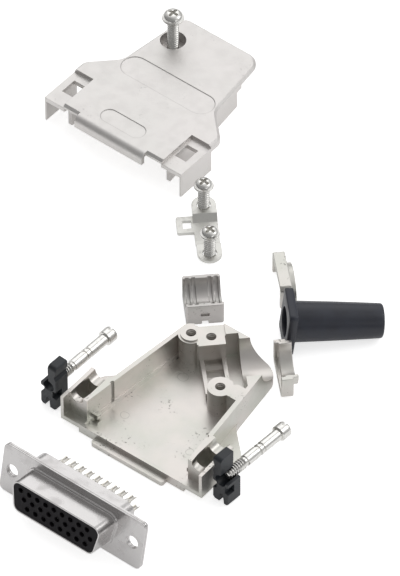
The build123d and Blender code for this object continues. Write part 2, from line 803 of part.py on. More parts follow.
pieces["cable_saddle"] = Pos(*saddle_place, 0) * Rot(0, 0, exit_angle) * cable_saddle()
half = frame_half()
pieces["upper_frame_half"] = Pos(*upper_frame_place, 0) * Rot(0, 0, frame_turn) * half
turned_over = Pos(0, 0, frame_height / 2) * Rot(180, 0, 0) * half
pieces["lower_frame_half"] = Pos(*lower_frame_place, 0) * Rot(0, 0, frame_turn) * turned_over
leaning_boot = stand(Rot(0, boot_lean(), 0) * cable_boot())
pieces["cable_boot"] = Pos(*boot_place, 0) * Rot(0, 0, boot_turn) * leaning_boot

clip = retaining_clip()
screw_at = Pos(clip_seat_offset, clip_depth / 2 - clip_grip, clip_axis_height)
left_at = Pos(*left_pair_place, 0) * Rot(0, 0, left_pair_turn)
right_at = Pos(*right_pair_place, 0) * Rot(0, 0, right_pair_turn)
pieces["left_clip"] = left_at * clip
pieces["right_clip"] = right_at * half_turn(clip)
pieces["left_jackscrew"] = left_at * screw_at * jackscrew()
pieces["right_jackscrew"] = right_at * half_turn(screw_at * jackscrew())

lean = Rot(-connector_lean(), 0, 0)
drop = Pos(0, 0, -(lean * connector_rear_shell()).bounding_box().min.Z)
connector_at = Pos(*connector_place, 0) * Rot(0, 0, connector_turn) * drop * lean
pieces["connector_front_shell"] = connector_at * connector_front_shell()
pieces["connector_rear_shell"] = connector_at * connector_rear_shell()
pieces["connector_front_insulator"] = connector_at * connector_front_insulator()
pieces["connector_rear_insulator"] = connector_at * connector_rear_insulator()
for number, (x, z) in enumerate(contact_places(), start=1):
    pieces[f"contact_{number:02d}"] = connector_at * Pos(x, 0, z) * contact()

# The origin is the middle of the whole kit's footprint, on the table
boxes = [piece.bounding_box() for piece in pieces.values()]
middle_x = (min(b.min.X for b in boxes) + max(b.max.X for b in boxes)) / 2
middle_y = (min(b.min.Y for b in boxes) + max(b.max.Y for b in boxes)) / 2
to_origin = Pos(-middle_x, -middle_y, -min(b.min.Z for b in boxes))

os.makedirs("parts", exist_ok=True)
for name, piece in pieces.items():
    export_step(to_origin * piece, f"parts/{name}.step")

print("shift to origin", -middle_x, -middle_y)
print("connector leans back", connector_lean(), "boot leans forward", boot_lean())
for name, place, side in (("left", left_at, 1), ("right", right_at, -1)):
    axis = to_origin * place * Pos(side * clip_seat_offset, 0, clip_axis_height)
    print(name, "jackscrew axis through", axis.position, "turned", axis.orientation.Z)
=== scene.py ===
import json
import math

import bmesh
import bpy
import numpy as np
from mathutils import Matrix, Vector


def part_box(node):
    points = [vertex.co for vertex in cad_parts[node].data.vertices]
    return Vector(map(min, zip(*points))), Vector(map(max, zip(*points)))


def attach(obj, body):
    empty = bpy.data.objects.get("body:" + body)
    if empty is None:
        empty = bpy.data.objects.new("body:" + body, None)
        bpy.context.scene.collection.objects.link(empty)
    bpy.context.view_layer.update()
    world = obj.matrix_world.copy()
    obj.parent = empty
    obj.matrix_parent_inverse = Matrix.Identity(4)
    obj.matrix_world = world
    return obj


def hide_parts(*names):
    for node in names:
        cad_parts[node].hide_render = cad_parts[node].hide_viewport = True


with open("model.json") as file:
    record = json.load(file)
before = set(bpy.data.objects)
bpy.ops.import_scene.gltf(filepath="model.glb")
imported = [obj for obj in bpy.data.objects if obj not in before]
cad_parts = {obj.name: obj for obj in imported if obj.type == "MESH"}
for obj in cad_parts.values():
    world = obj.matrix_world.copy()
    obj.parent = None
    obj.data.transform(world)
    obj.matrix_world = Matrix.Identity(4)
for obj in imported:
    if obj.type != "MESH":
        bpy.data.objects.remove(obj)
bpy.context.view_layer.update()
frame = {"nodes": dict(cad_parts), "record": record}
scene = bpy.context.scene
mm = 0.001

coverScrewSpot = (-71.65, 102.3)
screwLow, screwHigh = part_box("cover_screw")
layout = Vector(((screwLow[0] + screwHigh[0]) / 2 - coverScrewSpot[0] * mm,
                 (screwLow[1] + screwHigh[1]) / 2 - coverScrewSpot[1] * mm, 0))
print("layout point at", [round(v / mm, 3) for v in layout])


# Camera, at the angle of the photograph
shot = {"azimuth": 38.9, "elevation": 46.0, "distance": 1.4, "lens": 399.0, "sensor": 36.0,
        "aim": (-9.204, 34.778, 20.791), "nearest": 0.05, "farthest": 50.0}
azimuth, elevation = math.radians(shot["azimuth"]), math.radians(shot["elevation"])
back = Vector((math.sin(azimuth) * math.cos(elevation), -math.cos(azimuth) * math.cos(elevation),
               math.sin(elevation)))
cameraData = bpy.data.cameras.new("photoCamera")
cameraData.lens = shot["lens"]
cameraData.sensor_width = shot["sensor"]
cameraData.clip_start = shot["nearest"]
cameraData.clip_end = shot["farthest"]
camera = bpy.data.objects.new("photoCamera", cameraData)
camera.location = Vector(shot["aim"]) * mm + layout + back * shot["distance"]
camera.rotation_mode = "QUATERNION"
camera.rotation_quaternion = (-back).to_track_quat("-Z", "Y")
scene.collection.objects.link(camera)
scene.camera = camera
scene.view_settings.view_transform = "Standard"


# One value inside a node tree, so that sums read as sums
class Signal:
    def __init__(self, tree, socket):
        self.tree = tree
        self.socket = socket

    def maths(self, operation, first, second=0.0):
        step = self.tree.nodes.new("ShaderNodeMath")
        step.operation = operation
        plug(self.tree, step.inputs[0], first)
        plug(self.tree, step.inputs[1], second)
        return Signal(self.tree, step.outputs[0])

    def __add__(self, other):
        return self.maths("ADD", self, other)

    def __radd__(self, other):
        return self.maths("ADD", other, self)

    def __sub__(self, other):
        return self.maths("SUBTRACT", self, other)

    def __rsub__(self, other):
        return self.maths("SUBTRACT", other, self)

    def __mul__(self, other):
        return self.maths("MULTIPLY", self, other)

    def __rmul__(self, other):
        return self.maths("MULTIPLY", other, self)

    def __abs__(self):
        return self.maths("ABSOLUTE", self)


def plug(tree, slot, value):  # a link for a Signal, a plain value for anything else
    if isinstance(value, Signal):
        tree.links.new(value.socket, slot)
    else:
        slot.default_value = value


# A node tree under construction: node() adds any node by type, settings and socket values
class NodeWork:
    def __init__(self, tree):
        self.tree = tree

    def node(self, kind, settings, values, output=0):
        made = self.tree.nodes.new(kind)
        for key, value in settings.items():
            setattr(made, key, value)
        for key, value in values.items():
            plug(self.tree, made.inputs[key], value)
        return Signal(self.tree, made.outputs[output])

    def vectors(self, operation, first, values, output=0):
        return self.node("ShaderNodeVectorMath", {"operation": operation}, {0: first, **values}, output)

    def ramp(self, signal, low, high, least=0.0):  # least at low, 1 at high, eased
        return self.node("ShaderNodeMapRange", {"interpolation_type": "SMOOTHSTEP"},
                         {"Value": signal, "From Min": low, "From Max": high, "To Min": least})

    def blendColours(self, mask, first, second):
        first, second = (end if isinstance(end, Signal) else (*end, 1) for end in (first, second))
        return self.node("ShaderNodeMix", {"data_type": "RGBA"}, {0: mask, 6: first, 7: second}, 2)


class Finish(NodeWork):  # a material with its own shader, patterned in the object's coordinates
    def __init__(self, name):
        self.material = bpy.data.materials.new(name)
        self.material.use_nodes = True
        super().__init__(self.material.node_tree)
        self.shader = self.tree.nodes["Principled BSDF"]
        self.place = self.node("ShaderNodeTexCoord", {}, {}, "Object")

    def noise(self, scale, detail=2.0, stretch=None):  # from 0 to 1, scale in spots per metre
        place = self.place
        if stretch:
            place = self.node("ShaderNodeMapping", {}, {"Vector": place, "Scale": stretch})
        return self.node("ShaderNodeTexNoise", {}, {"Vector": place, "Scale": scale, "Detail": detail})

    def bump(self, height, distance=1.0):
        return self.node("ShaderNodeBump", {}, {"Height": height, "Distance": distance, "Strength": 1.0})

    def give(self, **values):
        for key, value in values.items():
            plug(self.tree, self.shader.inputs[key.replace("_", " ")], value)
        return self.material


# Zinc casting under satin nickel: fine shot grain, warm and cool drifts of the plating, and small
# casting flecks in scattered groups. The cover is blasted, so it is paler, rougher and more even.
# Marks are (x, y, z, radius) and painted shade lines (x, y, half length, end radius), in mm from the layout
# point. The lines paint shade along the edges of the label recesses.
satinNickel = {"name": "satinNickel", "warm": (0.66, 0.625, 0.595), "cool": (0.575, 0.575, 0.53),
               "rub": (0.70, 0.685, 0.66), "fleck": (0.20, 0.20, 0.18), "flecks": 0.75, "grain": 9000.0,
               "grainDepth": 0.0000045, "fleckDepth": 0.00003, "roughness": 0.29, "drift": 95.0,
               "clouds": 0.35, "marks": (), "paintedShadeLines": ()}
hoodNickel = {**satinNickel, "name": "hoodNickel",
              "marks": ((-6.9, 25.9, 1.2, 1.3), (-9.6, 9.0, 1.2, 1.1), (8.3, 9.4, 1.2, 1.1))}
blastedNickel = {"name": "blastedNickel", "warm": (0.745, 0.72, 0.705), "cool": (0.725, 0.71, 0.69),
                 "rub": (0.755, 0.735, 0.72), "fleck": (0.42, 0.41, 0.40), "flecks": 0.25, "grain": 7000.0,
                 "grainDepth": 0.000009, "fleckDepth": 0.00001, "roughness": 0.42, "drift": 60.0,
                 "clouds": 0.2, "marks": (),
                 # painted shade lines along the edges of the two label recesses
                 "paintedShadeLines": ((-63.25, 73.9, 4.0, 2.1), (-63.25, 90.0, 9.75, 3.25))}
tumbledNickel = {**satinNickel, "name": "tumbledNickel", "warm": (0.52, 0.495, 0.48),
                 "cool": (0.45, 0.445, 0.425), "rub": (0.58, 0.565, 0.55), "flecks": 0.5}

# What all castings share: spots per metre, where each pattern starts and ends, and how far it shows
castSurface = {"cloudScale": 420.0, "groupScale": 150.0, "fleckScale": 1900.0, "driftStep": (0.35, 0.66),
               "cloudStep": (0.35, 0.7), "groupStep": (0.55, 0.66), "fleckStep": (0.60, 0.68),
               "markRim": 0.16, "markTone": 0.32, "markWander": 0.45,
               # width in mm and darkness of the painted shade lines at the label recesses
               "paintedShadeStep": (0.03, 0.16), "paintedShadeTone": 0.45,
               "grainRoughness": 0.10, "cloudRoughness": 0.05, "fleckRoughness": 0.2}


def ejectorRim(finish, x, y, z, radius, clouds):
    # A sunk rim round a mark of the mould's ejector pin: 1 where a point lies one radius from its
    # middle, 0 a rim's width away on either side
    centre = tuple(layout + Vector((x, y, z)) * mm)
    reach = finish.vectors("DISTANCE", finish.place, {1: centre}, "Value")
    reach = reach * (1 / mm) + clouds * castSurface["markWander"]
    inside = finish.ramp(reach, radius - castSurface["markRim"], radius)
    return inside * (1 - finish.ramp(reach, radius, radius + castSurface["markRim"]))


def paintedStadiumShade(finish, x, y, halfLength, radius):
    # Painted shade: a fine dark line round a label recess, standing in for the shade at its edge. How far a
    # point lies from the place's middle segment, less the end radius, is near 0 on that edge
    middle = tuple(layout + Vector((x, y, 0)) * mm)
    away = finish.vectors("SUBTRACT", finish.place, {1: middle})
    away = finish.vectors("SCALE", away, {"Scale": 1 / mm})
    along = finish.node("ShaderNodeSeparateXYZ", {}, {0: away}, "X")
    across = finish.node("ShaderNodeSeparateXYZ", {}, {0: away}, "Y")
    past = along.maths("MAXIMUM", abs(along) - halfLength)
    reach = past.maths("SQRT", past * past + across * across) - radius
    return 1 - finish.ramp(abs(reach), *castSurface["paintedShadeStep"])


def makeCasting(look):
    cast = castSurface
    finish = Finish(look["name"])
    drift = finish.ramp(finish.noise(look["drift"], detail=3.0), *cast["driftStep"])
    clouds = finish.ramp(finish.noise(cast["cloudScale"], detail=4.0), *cast["cloudStep"])
    grain = finish.noise(look["grain"], detail=3.0)
    groups = finish.ramp(finish.noise(cast["groupScale"]), *cast["groupStep"])
    flecks = finish.ramp(finish.noise(cast["fleckScale"], detail=3.0), *cast["fleckStep"])
    flecks = flecks * groups * look["flecks"]
    colour = finish.blendColours(drift, look["cool"], look["warm"])
    colour = finish.blendColours(clouds * look["clouds"], colour, look["rub"])
    for mark in look["marks"]:
        flecks = flecks + cast["markTone"] * ejectorRim(finish, *mark, clouds)
    # From here the flecks mask also carries the painted shade lines along the label recesses: they darken
    # the colour as painted shade, and add some roughness and a shallow sunk bump
    for shadeLine in look["paintedShadeLines"]:
        flecks = flecks + cast["paintedShadeTone"] * paintedStadiumShade(finish, *shadeLine)
    colour = finish.blendColours(flecks, colour, look["fleck"])
    roughness = (look["roughness"] + cast["grainRoughness"] * grain + cast["cloudRoughness"] * clouds
                 + cast["fleckRoughness"] * flecks)
    relief = grain * look["grainDepth"] - flecks * look["fleckDepth"]
    return finish.give(Base_Color=colour, Metallic=1.0, Roughness=roughness, Normal=finish.bump(relief))


# Worked steel. Bright nickel has fine turning lines and small rubbed spots, the tin plate of the
# connector's shells has soft draw lines along the sheet and faint handling marks.
brightNickel = {"name": "brightNickel", "clean": (0.77, 0.76, 0.735), "dull": (0.60, 0.595, 0.57),
                "roughness": 0.2, "markScale": 900.0, "markDetail": 4.0, "markStep": (0.5, 0.72),
                "markTone": 0.5, "markRoughness": 0.10, "lineScale": 2600.0, "lineStretch": (1.0, 1.0, 6.0),
                "lineRoughness": 0.06, "lineDepth": 0.0000015}
strapNickel = {**brightNickel, "name": "strapNickel", "clean": (0.68, 0.675, 0.645), "roughness": 0.38}
tinPlate = {"name": "tinPlate", "clean": (0.62, 0.605, 0.60), "dull": (0.53, 0.512, 0.507),
            "roughness": 0.2, "markScale": 300.0, "markDetail": 5.0, "markStep": (0.48, 0.7),
            "markTone": 0.6, "markRoughness": 0.10, "lineScale": 1500.0, "lineStretch": (0.12, 1.0, 1.0),
            "lineRoughness": 0.08, "lineDepth": 0.000003}


def makeWorkedSteel(look):
    finish = Finish(look["name"])
    marks = finish.ramp(finish.noise(look["markScale"], look["markDetail"]), *look["markStep"])
    lines = finish.noise(look["lineScale"], detail=4.0, stretch=look["lineStretch"])
    colour = finish.blendColours(marks * look["markTone"], look["clean"], look["dull"])
    roughness = look["roughness"] + look["markRoughness"] * marks + look["lineRoughness"] * lines
    return finish.give(Base_Color=colour, Metallic=1.0, Roughness=roughness,
                       Normal=finish.bump(lines, look["lineDepth"]))


contactTin = {"name": "contactTin", "clean": (0.82, 0.80, 0.76), "warm": (0.78, 0.70, 0.55),
              "scale": 1200.0, "step": (0.45, 0.7), "warmth": 0.4, "roughness": 0.22,
              "toneRoughness": 0.1, "depth": 0.000002}


def makeContactTin(look):
    finish = Finish(look["name"])
    tone = finish.noise(look["scale"], detail=3.0)
    warmth = finish.ramp(tone, *look["step"]) * look["warmth"]
    colour = finish.blendColours(warmth, look["clean"], look["warm"])
    return finish.give(Base_Color=colour, Metallic=1.0,
                       Roughness=look["roughness"] + look["toneRoughness"] * tone,
                       Normal=finish.bump(tone, look["depth"]))


# Moulded plastics: the same recipe with other numbers
insulatorPlastic = {"name": "insulatorPlastic", "deep": (0.006, 0.0045, 0.0065),
                    "pale": (0.011, 0.009, 0.012), "roughness": 0.42, "shine": 0.2, "grain": 7000.0,
                    "depth": 0.000004}
clipPlastic = {"name": "clipPlastic", "deep": (0.014, 0.017, 0.021), "pale": (0.028, 0.033, 0.040),
               "roughness": 0.36, "shine": 0.5, "grain": 6000.0, "depth": 0.000005}
bootVinyl = {"name": "bootVinyl", "deep": (0.013, 0.015, 0.026), "pale": (0.021, 0.025, 0.040),
             "roughness": 0.30, "shine": 0.55, "grain": 4200.0, "depth": 0.000006}
mouldedSurface = {"patchScale": 260.0, "patchStep": (0.3, 0.75), "patchRoughness": 0.12,
                  "grainRoughness": 0.08}


def makeMoulded(look):
    skin = mouldedSurface
    finish = Finish(look["name"])
    patches = finish.ramp(finish.noise(skin["patchScale"], detail=3.0), *skin["patchStep"])
    grain = finish.noise(look["grain"])
    colour = finish.blendColours(patches, look["deep"], look["pale"])
    roughness = look["roughness"] + skin["patchRoughness"] * patches + skin["grainRoughness"] * grain
    return finish.give(Base_Color=colour, Metallic=0.0, Roughness=roughness,
                       Specular_IOR_Level=look["shine"], Normal=finish.bump(grain, look["depth"]))


finishes = {
    "satin_nickel": makeCasting(satinNickel),
    "bright_nickel": makeWorkedSteel(brightNickel),
    "tin_plate": makeWorkedSteel(tinPlate),
    "contact_metal": makeContactTin(contactTin),
    "insulator_plastic": makeMoulded(insulatorPlastic),
    "clip_plastic": makeMoulded(clipPlastic),
    "boot_rubber": makeMoulded(bootVinyl),
}
print("finishes made:", len(finishes))


def keep(piece, slotName, body="kit", finish=None):  # material and body of a finished piece; the slot name picks its finish unless one is given
    piece.data.materials.clear()
    piece.data.materials.append(finish or finishes[slotName])
    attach(piece, body)


# Castings, pressings and mouldings keep the CAD shape and get soft edges, "edge" mm wide
softEdges = {
    "lower_shell": {"name": "lowerHoodHalf", "edge": 0.30, "slot": "satin_nickel",
                    "finish": makeCasting(hoodNickel)},
    "cover": {"name": "upperHoodHalf", "edge": 0.25, "slot": "satin_nickel",
              "finish": makeCasting(blastedNickel)},
    "cable_saddle": {"name": "cableSaddle", "edge": 0.10, "slot": "satin_nickel",
                     "finish": makeCasting(tumbledNickel)},
    "cable_strap": {"name": "cableStrap", "edge": 0.28, "slot": "bright_nickel",
                    "finish": makeWorkedSteel(strapNickel)},
    "upper_frame_half": {"name": "upperFrameHalf", "edge": 0.16, "slot": "satin_nickel"},
    "lower_frame_half": {"name": "lowerFrameHalf", "edge": 0.16, "slot": "satin_nickel"},
    "left_clip": {"name": "leftClip", "edge": 0.12, "slot": "clip_plastic"},
    "right_clip": {"name": "rightClip", "edge": 0.12, "slot": "clip_plastic"},
    "connector_front_shell": {"name": "frontSteelShell", "edge": 0.18, "slot": "tin_plate"},
    "connector_rear_shell": {"name": "rearSteelShell", "edge": 0.12, "slot": "tin_plate"},
    "connector_front_insulator": {"name": "frontInsulator", "edge": 0.05, "slot": "insulator_plastic"},
    "connector_rear_insulator": {"name": "rearInsulator", "edge": 0.05, "slot": "insulator_plastic"},
}
edgeWork = {"merge": 0.002, "flatAngle": 0.5, "bevelAngle": 32, "segments": 3, "faceWeight": 100}


def softCopy(node, look):
    source = frame["nodes"][node]
    mesh = source.data.copy()
    mesh.name = look["name"]
    mesh.transform(source.matrix_world)
    work = bmesh.new()
    work.from_mesh(mesh)
    bmesh.ops.remove_doubles(work, verts=work.verts, dist=edgeWork["merge"] * mm)
    bmesh.ops.dissolve_limit(work, angle_limit=math.radians(edgeWork["flatAngle"]), verts=work.verts,
                             edges=work.edges, delimit={"NORMAL"})
    for face in work.faces:
        face.smooth = True
    work.to_mesh(mesh)
    work.free()
    piece = bpy.data.objects.new(look["name"], mesh)
    scene.collection.objects.link(piece)
    bevel = piece.modifiers.new("softEdges", "BEVEL")
    bevel.width = look["edge"] * mm
    bevel.segments = edgeWork["segments"]
    bevel.limit_method = "ANGLE"
    bevel.angle_limit = math.radians(edgeWork["bevelAngle"])
    bevel.use_clamp_overlap = True
    flat = piece.modifiers.new("flatFaces", "WEIGHTED_NORMAL")
    flat.mode = "FACE_AREA"
    flat.weight = edgeWork["faceWeight"]
    flat.keep_sharp = True
    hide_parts(node)
    keep(piece, look["slot"], finish=look.get("finish"))


for node, look in softEdges.items():
    softCopy(node, look)
print("soft edged pieces made:", len(softEdges))


# A grid of points, rows by columns, closed round its columns, becomes a piece.
# Rows run along the profile, columns round the axis; the ends are closed with one face where asked.
def gridPiece(name, points, closeStart=True, closeEnd=True):
    rows, columns, _ = points.shape
    row, column = np.meshgrid(np.arange(rows - 1), np.arange(columns), indexing="ij")
    nextColumn = (column + 1) % columns
    faces = np.stack([row * columns + column, row * columns + nextColumn,
                      (row + 1) * columns + nextColumn, (row + 1) * columns + column], -1)
    faces = faces.reshape(-1, 4).tolist()
    ring = np.arange(columns)
    if closeStart:
        faces.append(ring[::-1].tolist())
    if closeEnd:
        faces.append(((rows - 1) * columns + ring).tolist())
    mesh = bpy.data.meshes.new(name)
    mesh.from_pydata(points.reshape(-1, 3).tolist(), [], faces)
    mesh.update()
    mesh.shade_smooth()
    piece = bpy.data.objects.new(name, mesh)
    scene.collection.objects.link(piece)
    return piece


def around(columns):  # even angles, once round
    return np.arange(columns) / columns * 2 * math.pi


def placed(points, matrix):  # points in mm, through a 4 by 4 matrix that ends in metres
    turned = np.array(matrix)
    return points * mm @ turned[:3, :3].T + turned[:3, 3]


def sharpenByAngle(piece, degrees):  # edges past the angle shade sharp, the others smooth
    work = bmesh.new()
    work.from_mesh(piece.data)
    limit = math.radians(degrees)
    for edge in work.edges:
        edge.smooth = len(edge.link_faces) < 2 or edge.calc_face_angle() < limit
    work.to_mesh(piece.data)
    work.free()


# 4-40 thread: a ridge with a flat top and a flat root that climbs one pitch in each turn
thread = {"pitch": 0.635, "depth": 0.26, "crest": 1.34, "rowsPerPitch": 12, "root": 0.14, "flank": 0.72}


def threadHeight(along, angle):
    # Height over the core: how far round the pitch a point lies, as a triangle wave cut at root and crest
    phase = (along / thread["pitch"] - angle / (2 * math.pi)) % 1.0
    ridge = 1 - np.abs(phase - 0.5) * 2
    return thread["depth"] * np.clip((ridge - thread["root"]) / thread["flank"], 0, 1)


def threadRows(length):
    rows = int(length / thread["pitch"] * thread["rowsPerPitch"])
    return np.linspace(0, length, rows)[:, None]


def threadedRadius(along, angle, length, ends):
    # Radius of a threaded rod: core plus thread height, faded out at both ends, drawn in at the tip
    fadeIn = np.clip(along / ends["fadeIn"], 0, 1)
    fadeOut = np.clip((length - along) / ends["fadeOut"], 0, 1)
    tip = np.clip(ends["tip"] + along / ends["taper"], 0, 1)
    core = thread["crest"] - thread["depth"]
    return (core + threadHeight(along, angle) * fadeIn * fadeOut) * tip


# Pan head screws, tip at the origin, +Z to the head. The head's rim is round up to rimEnd degrees and
# its dome a power curve; the cross recess is subtracted from the dome's height.
screws = {
    "cover_screw": {"name": "coverScrew", "length": 15.0, "headRadius": 2.6, "headHeight": 1.9},
    "far_clamp_screw": {"name": "farClampScrew", "length": 8.0, "headRadius": 2.3, "headHeight": 1.8},
    "near_clamp_screw": {"name": "nearClampScrew", "length": 8.0, "headRadius": 2.3, "headHeight": 1.8},
}
shankEnds = {"fadeIn": 1.0, "fadeOut": 0.5, "tip": 0.62, "taper": 1.1}
panHead = {"columns": 96, "underRows": 6, "rim": 0.25, "rimRows": 14, "rimEnd": 62, "domeRows": 60,
           "domeInset": 0.12, "fall": 3.2, "root": 2.2, "shoulder": 0.02, "sharp": 40}
cross = {"length": 2.7, "width": 0.66, "depth": 1.05, "draft": 0.12, "endDraft": 3, "deepTo": 1.25,
         "rise": 1.3, "from": 0.35}


def headProfile(look):  # radius and height over the shank, from the underside to the top of the dome
    full, high, rim = look["headRadius"], look["headHeight"], panHead["rim"]
    core = thread["crest"] - thread["depth"]
    under = np.linspace(core, full - rim, panHead["underRows"])
    turn = np.linspace(-math.pi / 2, math.radians(panHead["rimEnd"]), panHead["rimRows"])
    rimHeight = rim + rim * np.sin(turn)
    domeFoot = full - panHead["domeInset"]
    dome = np.linspace(domeFoot, 0.0, panHead["domeRows"])[:-1]
    domeHeight = high * (1 - (dome / domeFoot) ** panHead["fall"]) ** (1 / panHead["root"])
    domeHeight = np.maximum(domeHeight, rimHeight[-1] + (high - rimHeight[-1]) * panHead["shoulder"])
    radius = np.concatenate([under, full - rim + rim * np.cos(turn), dome])
    height = np.concatenate([0 * under, rimHeight, domeHeight])
    return radius[:, None], height[:, None]


def crossDepth(x, y):
    # Two crossed slots as one: full depth where the shorter of |x| and |y| lies inside the slot's half
    # width and the longer inside its half length, with sloped sides and a floor that rises outwards
    longer, shorter = np.maximum(abs(x), abs(y)), np.minimum(abs(x), abs(y))
    side = np.clip((cross["width"] / 2 - shorter) / cross["draft"], 0, 1)
    end = np.clip((cross["length"] / 2 - longer) / (cross["draft"] * cross["endDraft"]), 0, 1)
    floor = np.clip(cross["deepTo"] - longer / cross["length"] * cross["rise"], 0, 1)
    return cross["depth"] * side * end * floor


def screwPoints(look):
    angle = around(panHead["columns"])
    along = threadRows(look["length"])
    radius = threadedRadius(along, angle, look["length"], shankEnds)
    shank = np.stack([radius * np.cos(angle), radius * np.sin(angle), along + 0 * radius], -1)
    radius, height = headProfile(look)
    x, y = radius * np.cos(angle), radius * np.sin(angle)
    sunk = np.where(height > look["headHeight"] * cross["from"], crossDepth(x, y), 0)
    head = np.stack([x, y, look["length"] + height + 0 * x - sunk], -1)
    return np.concatenate([shank, head])


for node, look in screws.items():
    low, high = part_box(node)
    spot = Matrix.Translation(((low[0] + high[0]) / 2, (low[1] + high[1]) / 2, low[2]))
    piece = gridPiece(look["name"], placed(screwPoints(look), spot))
    sharpenByAngle(piece, panHead["sharp"])
    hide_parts(node)
    keep(piece, "bright_nickel")
print("screws made:", len(screws))


# Threads in the three tapped holes of the lower half. Their places are in the half's own frame, whose
# place and turn on the table come first.
tappedHoles = {"shellSpot": (-0.5, 0.0), "shellTurn": 1.2, "radius": 1.125, "depth": 5.0, "relief": 0.16,
               "columns": 64, "fadeFrom": 0.1, "fade": 0.3, "sunk": 0.02,
               "spots": {"coverPostThread": (-8.4, 32.3, 8.5), "farPostThread": (-4.674, 34.774, 7.6),
                         "nearPostThread": (6.074, 24.026, 7.6)}}


def tappedPoints(look):  # a tube downwards whose radius loses the thread's height
    angle = around(look["columns"])
    down = threadRows(look["depth"])
    fade = np.clip((down - look["fadeFrom"]) / look["fade"], 0, 1)
    radius = look["radius"] - threadHeight(down, angle) * fade * look["relief"] / thread["depth"]
    return np.stack([radius * np.cos(angle), radius * np.sin(angle), -down - look["sunk"] + 0 * radius], -1)


shellSpot = (Matrix.Translation(layout + Vector((*tappedHoles["shellSpot"], 0)) * mm)
             @ Matrix.Rotation(math.radians(tappedHoles["shellTurn"]), 4, "Z"))
for name, spot in tappedHoles["spots"].items():
    place = shellSpot @ Matrix.Translation(Vector(spot) * mm)
    keep(gridPiece(name, placed(tappedPoints(tappedHoles), place), False, False), "satin_nickel")
print("tapped holes made:", len(tappedHoles["spots"]))


# Jackscrew along +Y from its thread tip. Behind the thread its radius is a chain of stations
# (distance, radius), with a quarter of each step between rows.
jackscrew = {"columns": 96, "length": 19.0, "threadEnd": 5.2, "slotWidth": 0.6, "slotDepth": 1.1,
             "slotDraft": 0.05, "grip": 0.2, "step": 0.25, "faceRows": 24, "faceRadius": 1.55, "sharp": 40,
             "stations": [(5.2, 1.1), (5.75, 1.1), (5.85, 1.35), (9.35, 1.35), (9.42, 1.1), (9.95, 1.1),
                          (10.02, 1.35), (10.55, 1.35), (10.62, 1.1), (11.15, 1.1), (11.22, 1.35),
                          (16.35, 1.35), (16.42, 1.72), (16.55, 1.85), (18.65, 1.85), (18.9, 1.75),
                          (19.0, 1.55)]}
jackscrewEnds = {"fadeIn": 0.7, "fadeOut": 0.4, "tip": 0.7, "taper": 0.9}


def jackscrewPoints(look):
    # Rows of thread, body and end face, each a distance and a radius round the axis; the end is
    # lowered to the slot's floor where it lies within the slot's half width
    angle = around(look["columns"])
    along = threadRows(look["threadEnd"])
    threaded = threadedRadius(along, angle, look["threadEnd"], jackscrewEnds)
    stations = np.array(look["stations"])
    last = len(stations) - 1
    chain = np.arange(0, last + look["step"] / 2, look["step"])
    body = np.interp(chain, np.arange(last + 1), stations[:, 0])
    bodyRadius = np.interp(body, stations[:, 0], stations[:, 1])
    face = np.linspace(look["faceRadius"], 0, look["faceRows"])[1:-1]
    distance = np.concatenate([along[:, 0], body, 0 * face + look["length"]])[:, None]
    radius = np.concatenate([threaded, bodyRadius[:, None] + 0 * angle, face[:, None] + 0 * angle])
    x, z = radius * np.cos(angle), radius * np.sin(angle)
    floor = look["length"] - look["slotDepth"]
    inSlot = np.clip((look["slotWidth"] / 2 - abs(x)) / look["slotDraft"], 0, 1)
    y = distance + 0 * x
    y = np.where(distance > floor, y + (floor - y) * inSlot, y)
    return np.stack([x, y, z], -1)[:, ::-1]


for joint in frame["record"]["behaviour"]["joints"]:
    side = joint["child"]
    along = Vector(joint["axis"]).normalized()
    turn = Vector((0, 1, 0)).rotation_difference(along).to_matrix().to_4x4()
    spot = Matrix.Translation(Vector(joint["pos_m"]) + along * jackscrew["grip"] * mm) @ turn
    piece = gridPiece(side.replace("_jackscrew", "Jackscrew"), placed(jackscrewPoints(jackscrew), spot))
    sharpenByAngle(piece, jackscrew["sharp"])
    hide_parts(side)
    keep(piece, "bright_nickel", side)
print("jackscrews made")


# Boot along +X: a plate, given as sections (distance, half width, half height, corner radius), then a
# small fillet, a tapered tube with a slight swell, a rounded lip and the bore back to the plate
boot = {"lean": 6.0722, "turn": 45.5, "spot": (2.5, 49.0), "lift": 0.2126, "axisHeight": 6.0,
        "columns": 128, "length": 22.0, "plate": 2.0, "neck": 4.65, "tip": 3.9, "swell": 0.06,
        "plateSections": [(0.0, 4.2, 5.2, 0.6), (0.0, 4.7, 5.7, 0.7), (0.06, 4.88, 5.88, 0.76),
                          (0.25, 5.0, 6.0, 0.8), (1.75, 5.0, 6.0, 0.8), (1.94, 4.9, 5.9, 0.78),
                          (2.0, 4.72, 5.7, 0.75)],
        "footLength": 0.35, "footRise": 0.05, "footRows": 5, "tubeStart": 2.6, "tubeRows": 34,
        "lip": 0.45, "lipGap": 0.15, "lipDrop": 0.43, "lipRows": 6,
        "bore": 3.4, "boreEdge": 0.05, "boreInward": (0.05, 0.2, 0.5, 7.0, 15.0, 21.0, 21.85),
        "merge": 0.001, "sharp": 50}


def roundedRay(angle, halfWidth, halfHeight, corner):
    # Distance from the middle to a rounded rectangle in each direction: the flat sides first, then
    # the corner circle where the ray passes beyond both flats
    across, up = abs(np.cos(angle)), abs(np.sin(angle))
    flat = np.minimum(halfWidth / np.maximum(across, 1e-9), halfHeight / np.maximum(up, 1e-9))
    cornerX, cornerY = halfWidth - corner, halfHeight - corner
    middle = across * cornerX + up * cornerY
    inside = middle ** 2 - (cornerX ** 2 + cornerY ** 2 - corner ** 2)
    onCorner = (flat * across > cornerX) & (flat * up > cornerY) & (inside > 0)
    return np.where(onCorner, middle + np.sqrt(np.maximum(inside, 0)), flat)


